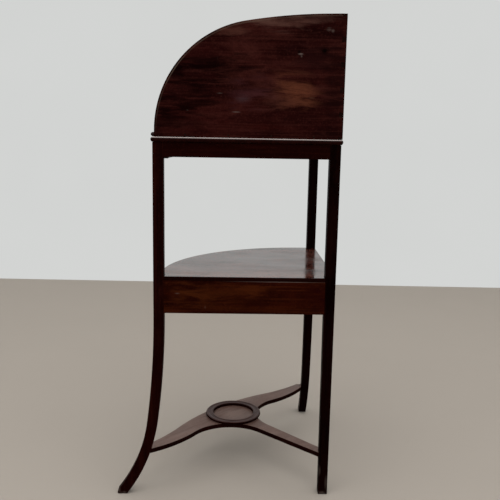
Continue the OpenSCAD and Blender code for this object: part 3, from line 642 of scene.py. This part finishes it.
# Patches and marks on the wall sides: along the wall, height, half length, half height, tint, amount
FOOT_MARKS = [(*place, RUBBED, 0.6) for place in (
    (487, 14, 4, 18), (476, 3, 14, 5), (484, 34, 3, 14),
    (12, 4, 12, 6), (4, 30, 4, 26), (20, 60, 4, 18))]
BOARD_PATCHES = (
    (92, 925, 68, 55, (0.115, 0.035, 0.018), 0.85),
    (150, 905, 85, 26, (0.056, 0.017, 0.012), 0.60),
    (140, 1068, 140, 30, (0.080, 0.036, 0.028), 0.95),
    (235, 1046, 65, 22, (0.070, 0.025, 0.018), 0.80),
    (262, 975, 115, 42, (0.0030, 0.0004, 0.0004), 0.95),
    (345, 950, 130, 100, (0.0034, 0.0003, 0.0003), 1.0),
    # A painted sheen: the purple-grey haze of the polish's reflection
    (200, 920, 66, 46, (0.042, 0.0120, 0.0135), 0.85),
    (375, 870, 140, 110, (0.0048, 0.0005, 0.0005), 1.0),
    (300, 1010, 66, 20, (0.024, 0.0022, 0.0022), 0.60),
    (60, 990, 80, 66, (0.013, 0.0030, 0.0030), 0.75),
    (18, 930, 60, 160, (0.0075, 0.0014, 0.0014), 0.95),
    (180, 850, 150, 14, (0.024, 0.0026, 0.0018), 0.50))
BOARD_MARKS = (
    (94, 1001, 8, 3, SCUFF_AND_HIGHLIGHT, 0.55), (92, 997, 3, 5, SCUFF_AND_HIGHLIGHT, 0.45),
    (97, 1006, 6, 6, (0.004, 0.001, 0.001), 0.9), (268, 990, 2, 8, SCUFF_AND_HIGHLIGHT, 0.34),
    (227, 880, 13, 1.8, SCUFF_AND_HIGHLIGHT, 0.42), (262, 918, 9, 2, SCUFF_AND_HIGHLIGHT, 0.20),
    (36, 1052, 8, 6, SCUFF_AND_HIGHLIGHT, 0.20), (28, 1049, 5, 6, SCUFF_AND_HIGHLIGHT, 0.26),
    # The purple-grey mark at 214 along is a painted sheen
    (330, 882, 4, 1.5, SCUFF_AND_HIGHLIGHT, 0.20), (214, 908, 24, 12, (0.055, 0.036, 0.042), 0.25),
    (68, 912, 10, 1.8, (0.11, 0.05, 0.03), 0.5),
    (44, 1009, 13, 12, (0.002, 0.0004, 0.0004), 0.7))
RAIL_PATCHES = (
    (255, 482, 135, 32, (0.056, 0.0130, 0.0034), 0.50),
    (342, 476, 52, 34, (0.052, 0.0120, 0.0032), 0.70),
    (290, 462, 62, 20, (0.050, 0.0110, 0.0030), 0.60),
    (175, 492, 55, 18, (0.058, 0.0125, 0.0030), 0.55),
    (146, 490, 20, 11, (0.008, 0.0008, 0.0004), 0.75),
    (192, 458, 66, 19, (0.009, 0.0008, 0.0005), 0.85),
    (20, 470, 95, 60, (0.012, 0.0008, 0.0010), 0.95),
    (380, 475, 24, 45, (0.007, 0.0008, 0.0005), 0.80))
RAIL_MARKS = (
    # The long light line at 511.6 high, on the rail's top arris, is a painted highlight
    (352, 483, 8, 2.2, SCUFF_AND_HIGHLIGHT, 0.28), (128, 511.6, 150, 1.4, SCUFF_AND_HIGHLIGHT, 0.8),
    (290, 452, 3, 6, (0.085, 0.040, 0.030), 0.28))

# Worn spots on the shelf: along the right wall, in from it, radius
SHELF_SPOTS = ((90, 25, 75), (170, 30, 80), (250, 25, 80), (330, 40, 70), (215, 150, 45),
               (120, 200, 50))
# Radius of the painted light in the stretcher's dish
DISH_SPOT_R = 60


def on_wall(place, rows):
    """Patches or marks on the outer face of a wall side."""
    return [(place(along, 0, z), (reach * MM, reach * MM, height * MM), tint, amount)
            for along, z, reach, height, tint, amount in rows]


def round_patch(centre, r, tint, amount):
    return centre, [r * MM] * 3, tint, amount


def board_rims(place):
    """Lighter lines just inside the two arcs of a backboard's curved edge."""
    shoulder_x = SIDE_L - BOARD_SHORT - BOARD_SHOULDER_R
    centre_z = STAND_H - BOARD_TOP_R
    shoulder_z = centre_z + math.sqrt((BOARD_TOP_R - BOARD_SHOULDER_R) ** 2 - shoulder_x ** 2)
    arcs = ((shoulder_x, shoulder_z, BOARD_SHOULDER_R, math.radians(45), 220),
            (0, centre_z, BOARD_TOP_R, math.radians(87), 240))
    rims = []
    for x, z, r, turn, reach in arcs:
        middle = place(x + r * math.cos(turn), 0, z + r * math.sin(turn))
        rims.append((place(x, 0, z), (r - RIM_IN) * MM, middle, reach * MM, LIGHT_RIM_LINE, 0.65))
    return rims


# The materials

foot_marks = on_wall(at_other_wall, FOOT_MARKS) + on_wall(at_wall, FOOT_MARKS)
leg_wood = wood("leg_mahogany", ALONG_Z, LEG, seed=3.1, blotch=0.4, marks=foot_marks)
shaded_leg_wood = wood("leg_mahogany_painted_shade", ALONG_Z, SHADED_LEG, seed=5.7, blotch=0.4,
                     marks=foot_marks)
board_right_wood = wood("backboard_right_mahogany", ALONG_RIGHT, BOARD, rough=0.40, seed=0.4,
                        blotch=0.6, patches=on_wall(at_other_wall, BOARD_PATCHES),
                        marks=on_wall(at_other_wall, BOARD_MARKS), rims=board_rims(at_other_wall))
board_left_wood = wood("backboard_left_mahogany", ALONG_LEFT, BOARD, rough=0.40, seed=7.3,
                       blotch=0.7, rims=board_rims(at_wall))
end_grain = wood("end_grain", ALONG_Y, END_GRAIN, rough=0.55, seed=1.2)
rail_wood_right = wood("rail_right_mahogany", ALONG_RIGHT, CASE, seed=5.2, blotch=0.35,
                       patches=on_wall(at_other_wall, RAIL_PATCHES),
                       marks=on_wall(at_other_wall, RAIL_MARKS))
rail_wood_left = wood("rail_left_mahogany", ALONG_LEFT, CASE, seed=8.4, blotch=0.6)
upper_rail_wood_right = wood("upper_rail_mahogany", ALONG_RIGHT, UPPER, rough=0.38)
upper_rail_wood_left = wood("upper_rail_left_mahogany", ALONG_LEFT, UPPER, rough=0.38, seed=2.0)
bow_wood = wood("bow_mahogany", ALONG_X, BOARD, rough=0.32, specular=0.05, seed=4.4)
front_wood = wood("drawer_front_mahogany", ALONG_X, FRONT, rough=0.26, specular=0.12, seed=6.1,
                  blotch=0.4)
top_wood = wood("top_mahogany", ALONG_X, TOP, rough=0.24, specular=0.15, seed=9.0, dust_and_highlight=FILM)
# The ledge's upward tint is a painted highlight along its bead
ledge_wood = wood("top_ledge_mahogany", ALONG_X, UPPER, rough=0.28, specular=0.03, seed=9.0,
                  dust_and_highlight=BEAD_PAINTED_HIGHLIGHT)
shelf_wood = wood("shelf_mahogany", ALONG_RIGHT, SHELF, rough=0.11, specular=0.96, seed=2.6,
                  blotch=0.55, pores=0.15, haze=0.065,
                  patches=[round_patch(at_other_wall(along, depth, SHELF_H), r, WORN_SHELF, 0.65)
                           for along, depth, r in SHELF_SPOTS])
side_wood_and_shade = wood("side_mahogany_polish_and_painted_shade", ALONG_RIGHT, EDGE, rough=0.4, seed=0.9)
# The patch in the ring's dish is painted light, against the shade of the ring's rim
stretcher_wood = wood("stretcher_mahogany", ALONG_X, STRETCHER, rough=0.42, specular=0.3, seed=1.9,
                      blotch=0.5,
                      patches=[round_patch(at_ring(0, 0, 0), DISH_SPOT_R, DISH_PAINTED_LIGHT, 0.9)])
ring_wood = wood("ring_mahogany", ALONG_X, RING, rough=0.42, specular=0.15, seed=0.7)
bead_wood = wood("bead_mahogany", ALONG_X, BEAD, rough=0.3, specular=0.1, seed=3.9)
oak_x = oak("oak_across", ALONG_X)
oak_y = oak("oak_along", ALONG_Y, 2.2)
knob_brass = brass("aged_brass")
nail_iron = iron("dull_iron")


# Dressing the pieces

def dress(piece, body, slot, material, *nodes):
    """Gives a piece its material and its body, and hides the CAD nodes it stands for. The slot is not
    used.
    """
    piece.data.materials.clear()
    piece.data.materials.append(material)
    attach(piece, body)
    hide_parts(*nodes)
    return piece


def second_material(piece, material, direction, least):
    """Another material on the faces that look far enough in the given direction."""
    piece.data.materials.append(material)
    for face in piece.data.polygons:
        if face.normal.dot(direction) > least:
            face.material_index = 1


def darker_sides_polish_and_shade(piece):
    """The dark side wood on the faces that don't look up: dark polish on the boards' sides, and
    painted shade on the ring's sides.
    """
    second_material(piece, side_wood_and_shade, -UP, -0.6)


# Legs

def sweep_stations():
    """Outer and inner points of a front leg's outline, from the floor up."""
    low_outer = math.asin(LOWER_C[1] / SWEEP_LOWER_R)
    low_inner = math.asin(INNER_C[1] / INNER_R)
    stations = []
    for a, b in zip(spread(low_outer, SWEEP_TURN, SWEEP_STEPS),
                    spread(low_inner, SWEEP_TURN, SWEEP_STEPS)):
        x, z = sweep_point(LOWER_C, SWEEP_LOWER_R, a)
        stations.append(((min(x, TOE_X), z), sweep_point(INNER_C, INNER_R, b)))
    for a in spread(SWEEP_TURN, 0, UPPER_SWEEP_STEPS)[1:]:
        stations.append((sweep_point(UPPER_C, SWEEP_UPPER_R, a),
                         sweep_point(UPPER_C, SWEEP_UPPER_R + LEG_W, a)))
    for z in (CASE_Z, CASE_TOP, LEG_TOP):
        stations.append(((SIDE_L, z), (SIDE_L - LEG_W, z)))
    return stations


def front_leg(name, place):
    loops = []
    for (xo, zo), (xi, zi) in sweep_stations():
        loops.append([place(xi, 0, zi), place(xo, 0, zo), place(xo, leg_thickness(zo), zo),
                      place(xi, leg_thickness(zi), zi)])
    return loft(name, loops, bevel=LEG_ROUND)


def corner_leg():
    loops = []
    for z in (0, CASE_Z, CASE_TOP, LEG_TOP):
        w = leg_thickness(z)
        loops.append([at_wall(0, 0, z), at_wall(w, 0, z), at_wall(w, w, z), at_wall(0, w, z)])
    return loft("leg_at_corner", loops, bevel=CORNER_LEG_ROUND)


# The far leg and the corner leg take the leg wood with painted shade
dress(front_leg("leg_left", at_wall), "stand", "mahogany_dark", shaded_leg_wood, "front_leg_left")
dress(front_leg("leg_right", at_other_wall), "stand", "mahogany_dark", leg_wood, "front_leg_right")
dress(corner_leg(), "stand", "mahogany_dark", shaded_leg_wood, "corner_leg")


# Top board

TOP_HOLES = ((BASIN_IN, BASIN_IN, BASIN_R), (CUP_ALONG, CUP_IN, CUP_R), (CUP_IN, CUP_ALONG, CUP_R))


def layer_outline(wall_y, corner_r):
    """Outline of a layer between the walls and the bow, as a function of its inset."""
    def outline(inset):
        y = wall_y + inset
        r = TOP_R - inset
        end = TOP_BOW_IN + math.sqrt(r * r - (TOP_BOW_IN - y) ** 2)
        round_r = max(corner_r - inset, 0)
        corner = wall_y + corner_r
        points = [(corner - round_r * math.cos(a), corner - round_r * math.sin(a))
                  for a in spread(0, math.pi / 2, 8)]
        points += [(x, y) for x in spread(corner, end, SIDE_STEPS)[1:]]
        points += bow_points(TOP_BOW_IN, r, math.atan2(y - TOP_BOW_IN, end - TOP_BOW_IN))[1:]
        points += [(y, x) for x in spread(end, corner, SIDE_STEPS)[1:-1]]
        return points
    return outline


lower_layer = plate("top_lower_layer", layer_outline(-TOP_OVER, CORNER_ROUND),
                    half_round(LOWER_LAYER_T, LEG_TOP), at_wall, TOP_HOLES)
upper_layer = plate("top_upper_layer", layer_outline(BOARD_INNER, UPPER_LAYER_CORNER),
                    half_round(UPPER_LAYER_T, REBATE_Z), at_wall, TOP_HOLES)
dress(lower_layer, "stand", "mahogany_worn", ledge_wood, "top_board")
dress(upper_layer, "stand", "mahogany_worn", top_wood, "top_board")


# Backboards

def in_corner_joint(point):
    return math.hypot(point.x, point.y - CORNER_Y * MM) < CORNER_JOINT * MM


def seated_socket(point):
    """Brings the ends of the dovetail sockets up to the pins, so that no light passes."""
    tolerance = 0.1 * MM
    along = (CORNER_Y * MM - point.y + point.x) / ROOT2
    if abs(along - SOCKET_END * MM) > tolerance:
        return point
    back = (SOCKET_END - BOARD_INNER) * MM
    pitch = BOARD_H / BOARD_TAILS * MM
    off_pin = (point.z - REBATE_Z * MM + pitch / 2) % pitch - pitch / 2
    return point + OUT_LEFT * back - UP * math.copysign(back * DOVETAIL_SLOPE, off_pin)


for side, material, shape, end in (("right", board_right_wood, seated_socket, OUT_LEFT),
                                   ("left", board_left_wood, None, OUT_RIGHT)):
    board = softened("backboard_" + side, BOARD_ROUND, shape, tight=in_corner_joint)
    dress(board, "stand", "mahogany", material, "backboard_" + side)
    second_material(board, end_grain, end, 0.9)


# Rails of the wall sides

rail_start = LEG_W - RAIL_INTO_LEG
for side, place, lower_wood, upper_wood in (
        ("left", at_wall, rail_wood_left, upper_rail_wood_left),
        ("right", at_other_wall, rail_wood_right, upper_rail_wood_right)):
    rail = solid_box("case_side_" + side, place, (rail_start, RAIL_BACK, CASE_Z),
                     (SIDE_L - rail_start, RAIL_T, CASE_TOP), bevel=CASE_ROUND)
    dress(rail, "stand", "mahogany", lower_wood, "lower_rail_" + side)
    rail = softened("upper_rail_" + side, EDGE_ROUND)
    dress(rail, "stand", "mahogany", upper_wood, "upper_rail_" + side)


# Shelf

def shelf_outline(inset):
    """Outline of the shelf, notched round the three legs."""
    notch = LEG_W + GLUE_GAP + inset
    far = SIDE_L - notch
    r = SHELF_R - inset
    end = BOW_IN + math.sqrt(r * r - (BOW_IN - notch) ** 2)
    points = [(notch, notch), (notch, inset)]
    points += [(x, inset) for x in spread(notch, far, SIDE_STEPS)[1:]]
    points += [(far, notch)]
    points += bow_points(BOW_IN, r, math.atan2(notch - BOW_IN, end - BOW_IN))
    points += [(notch, far), (inset, far)]
    points += [(inset, x) for x in spread(far, notch, SIDE_STEPS)[1:]]
    return points


shelf = plate("shelf", shelf_outline, eased(SHELF_T, CASE_TOP, SHELF_ROUND), at_wall)
dress(shelf, "stand", "mahogany_worn", shelf_wood, "shelf_board")
darker_sides_polish_and_shade(shelf)


# Pieces that keep the form of their CAD solid

STAND_PIECES = (
    ("upper_apron", bow_wood, "mahogany"), ("case_rail", bow_wood, "mahogany"),
    ("division_left", leg_wood, "mahogany"), ("division_right", leg_wood, "mahogany"),
    ("dummy_front_left", front_wood, "mahogany"), ("dummy_front_right", front_wood, "mahogany"),
    ("runner_left", oak_y, "oak"), ("runner_right", oak_y, "oak"),
    ("guide_left", oak_y, "oak"), ("guide_right", oak_y, "oak"),
    ("drawer_stops", oak_x, "oak"), ("glue_blocks", oak_x, "oak"),
    ("backboard_nails", nail_iron, "iron"), ("top_screws", nail_iron, "iron"),
    ("dummy_knob_nuts", nail_iron, "iron"))
DRAWER_PIECES = (
    ("drawer_front", front_wood, "mahogany"), ("drawer_side_left", oak_y, "oak"),
    ("drawer_side_right", oak_y, "oak"), ("drawer_back", oak_x, "oak"),
    ("drawer_bottom", oak_x, "oak"), ("drawer_knob_nut", nail_iron, "iron"),
    ("drawer_bottom_nails", nail_iron, "iron"))

for body, pieces, wood_round in (("stand", STAND_PIECES, EDGE_ROUND),
                                 ("drawer", DRAWER_PIECES, DRAWER_ROUND)):
    for node, material, slot in pieces:
        piece = softened(node, IRON_ROUND if slot == "iron" else wood_round)
        dress(piece, body, slot, material, node)


# Cock beads

def cock_bead(name, a0, a1):
    """A bead with a round nose, mitred into a frame on the bow surface."""
    nose = BEAD_T / 2
    tip = FRONT_R + BEAD_OUT
    profile = [(0, FRONT_R - BEAD_LET)]
    profile += [(nose * (1 - math.cos(a)), tip - nose + nose * math.sin(a))
                for a in spread(0, math.pi, 8)]
    profile += [(BEAD_T, FRONT_R - BEAD_LET)]
    bm = bmesh.new()
    rings = []
    for u, r in profile:
        low, high = a0 + u / FRONT_R, a1 - u / FRONT_R
        bottom, top = FRONT_Z + u, FRONT_Z + FRONT_H - u
        points = [at_bow(a, r, bottom) for a in spread(low, high, BEAD_STEPS)]
        points += [at_bow(high, r, z) for z in spread(bottom, top, BEAD_END_STEPS)[1:]]
        points += [at_bow(a, r, top) for a in spread(high, low, BEAD_STEPS)[1:]]
        points += [at_bow(low, r, z) for z in spread(top, bottom, BEAD_END_STEPS)[1:-1]]
        rings.append([bm.verts.new(p) for p in points])
    for a, b in zip(rings, rings[1:] + rings[:1]):
        ring_faces(bm, a, b)
    return finish_mesh(name, bm)


# Knobs

def knob_profile():
    """Turned knob: flange let into the front, neck, and flattened ball with a small boss."""
    axis_r, let_in = 0.01, 1.5
    ball_turn = math.radians(46)
    ball_z = KNOB_L - 0.72 * KNOB_R
    flange = [(axis_r, -let_in), (7.0, -let_in), (7.0, 0.6), (6.7, 1.1), (5.9, 1.35), (5.5, 1.6),
              (5.4, 2.2)]
    neck = [(4.6, 2.6), (3.9, 3.2), (3.6, 4.2), (3.7, 5.2), (4.3, 6.0)]
    ball = [(KNOB_R * math.cos(a), ball_z + KNOB_R * math.sin(a))
            for a in spread(-ball_turn, ball_turn, 14)]
    boss = [(4.2, KNOB_L - 0.25), (1.8, KNOB_L - 0.05), (axis_r, KNOB_L)]
    return flange + neck + ball + boss


def knob(name, angle):
    out = Vector((math.sin(angle), -math.cos(angle), 0))
    across = Vector((math.cos(angle), math.sin(angle), 0))
    foot = at_bow(angle, FRONT_R, KNOB_Z)

    def place(x, y, z):
        return foot + (across * x + UP * y + out * z) * MM
    return lathe(name, knob_profile(), place, KNOB_STEPS)


dummy_start = math.asin(DUMMY_IN / FRONT_R)
dummy_end = math.pi / 4 + math.asin((BOW_IN - LEG_W) / FRONT_R)
dummy_middle = (dummy_start + dummy_end) / 2
half_bead = math.asin(BEAD_T / 2 / FRONT_R)
for side, sign in (("left", -1), ("right", 1)):
    ends = sorted((sign * (dummy_start + half_bead), sign * (dummy_end - half_bead)))
    bead = cock_bead("cock_bead_" + side, *ends)
    dress(bead, "stand", "mahogany_dark", bead_wood, "dummy_bead_" + side)
    turned = knob("knob_" + side, sign * dummy_middle)
    dress(turned, "stand", "brass", knob_brass, "dummy_knob_" + side)
drawer_end = math.asin(DRAWER_W / 2 / (FRONT_R + BEAD_OUT))
bead = cock_bead("cock_bead_drawer", -drawer_end, drawer_end)
dress(bead, "drawer", "mahogany_dark", bead_wood, "drawer_bead")
dress(knob("knob_drawer", 0), "drawer", "brass", knob_brass, "drawer_knob")


# Stretcher

def ring_profile():
    """Turned ring: rounded outer rim, shallow valley, thin raised lip round the dish."""
    rim = RING_H / 2
    base = [(RING_BORE_R, 0.0), (RING_R - rim, 0.0)]
    outer = [(RING_R - rim + rim * math.cos(a), rim + rim * math.sin(a))
             for a in spread(-math.pi / 2 + 0.2, math.pi * 0.6, 14)]
    valley = [(RING_R - d, z) for d, z in ((6.6, 7.3), (7.6, 6.7), (9.0, 6.5))]
    lip = [(RING_BORE_R + d, z) for d, z in (
        (6.2, 6.7), (4.8, 7.2), (3.6, 7.9), (2.4, RING_H), (1.0, 7.6), (0.2, 6.9), (0.0, 6.0))]
    return base + outer + valley + lip


stretcher = softened("stretcher_board", EDGE_ROUND)
dress(stretcher, "stand", "mahogany_worn", stretcher_wood, "stretcher_board")
darker_sides_polish_and_shade(stretcher)
ring = lathe("turned_ring", ring_profile(), at_ring, RING_STEPS, sharp=50)
dress(ring, "stand", "mahogany_dark", ring_wood, "stretcher_ring")
# The ring's sides take the dark side wood as painted shade
darker_sides_polish_and_shade(ring)


# Camera, solved from the photograph

CAMERA_AT = Vector((1.1896, 1.0707, 0.8435))
YAW, PITCH, ROLL = 0.0285762, 0.1776945, -0.0187681
FOCAL_PIXELS, PHOTO_WIDTH, SENSOR = 669.86, 500, 36.0

level_forward = OUT_LEFT * math.sin(YAW) - OUT_RIGHT * math.cos(YAW)
level_right = OUT_LEFT * math.cos(YAW) + OUT_RIGHT * math.sin(YAW)
forward = level_forward * math.cos(PITCH) - UP * math.sin(PITCH)
level_down = forward.cross(level_right)
right = level_right * math.cos(ROLL) + level_down * math.sin(ROLL)
down = level_down * math.cos(ROLL) - level_right * math.sin(ROLL)

camera_data = bpy.data.cameras.new("camera")
camera_data.sensor_fit = "HORIZONTAL"
camera_data.sensor_width = SENSOR
camera_data.lens = FOCAL_PIXELS / PHOTO_WIDTH * SENSOR
camera = new_object("camera", camera_data)
camera_turn = Matrix((right, -down, -forward)).transposed()
camera.matrix_world = Matrix.Translation(CAMERA_AT) @ camera_turn.to_4x4()
bpy.context.scene.camera = camera


# Floor and back wall

FLOOR_HALF = 14.0
WALL_AWAY = 3.65
WALL_HALF = 5.0
WALL_H = 4.0


def uneven(s, colour, scale, darkest):
    """A colour with a faint, broad unevenness."""
    faint = s.noise(s.point, scale, 2.0)
    return s.mix(s.ramp(faint, 0.2, 0.8), [c * darkest for c in colour], colour)


def plain_floor(name, colour):
    s = Surface(name)
    tint = uneven(s, colour, 3.0, 0.985)
    s.shade(Base_Color=tint, Roughness=0.7, Specular_IOR_Level=0.2)
    return s.material


def bright_wall(name, colour):
    """A plain wall that the camera and reflections see at its own colour, evenly lit."""
    s = Surface(name)
    tint = uneven(s, colour, 1.5, 0.98)
    s.shade(Base_Color=tint, Roughness=0.9, Specular_IOR_Level=0.1)
    path = s.add("ShaderNodeLightPath").outputs
    seen = s.math("MAXIMUM", path["Is Camera Ray"], path["Is Glossy Ray"])
    seen = s.math("MAXIMUM", seen, path["Is Transmission Ray"])
    glow = s.add("ShaderNodeEmission", {"Color": tint, "Strength": 1.0})
    both = s.add("ShaderNodeMixShader", {0: seen, 1: s.shader.outputs[0], 2: glow.outputs[0]})
    s.tree.links.new(both.outputs[0], s.tree.nodes["Material Output"].inputs["Surface"])
    return s.material


def sheet(name, corners, material):
    """A flat face of the stage."""
    mesh = bpy.data.meshes.new(name)
    mesh.from_pydata(corners, [], [tuple(range(len(corners)))])
    piece = new_object(name, mesh)
    piece.data.materials.append(material)


sheet("floor", [(x * FLOOR_HALF, y * FLOOR_HALF, 0) for x, y in ((-1, -1), (1, -1), (1, 1), (-1, 1))],
      plain_floor("floor_grey", (0.424, 0.380, 0.334)))
wall_foot = CAMERA_AT + level_forward * WALL_AWAY
wall_foot.z = 0
sheet("back_wall", [wall_foot + level_right * (side * WALL_HALF) + UP * height
                    for side, height in ((-1, 0), (1, 0), (1, WALL_H), (-1, WALL_H))],
      bright_wall("wall_grey", (0.655, 0.665, 0.655)))


# Lights

def softbox(name, at, target, width, length, power):
    data = bpy.data.lights.new(name, "AREA")
    data.shape = "RECTANGLE"
    data.size = width
    data.size_y = length
    data.energy = power
    data.color = (1.0, 0.985, 0.96)
    lamp = new_object(name, data)
    lamp.location = at
    lamp.rotation_euler = (Vector(target) - Vector(at)).to_track_quat("-Z", "Y").to_euler()


softbox("overhead", at=(0.75, 0.65, 2.7), target=(0, 0, 0.5), width=2.4, length=0.7, power=14)

world = bpy.data.worlds.new("studio")
bpy.context.scene.world = world
world.use_nodes = True
background = world.node_tree.nodes["Background"].inputs
background["Color"].default_value = (1.0, 0.995, 0.985, 1)
background["Strength"].default_value = 1.0

bpy.context.scene.view_settings.view_transform = "Standard"
bpy.context.view_layer.update()
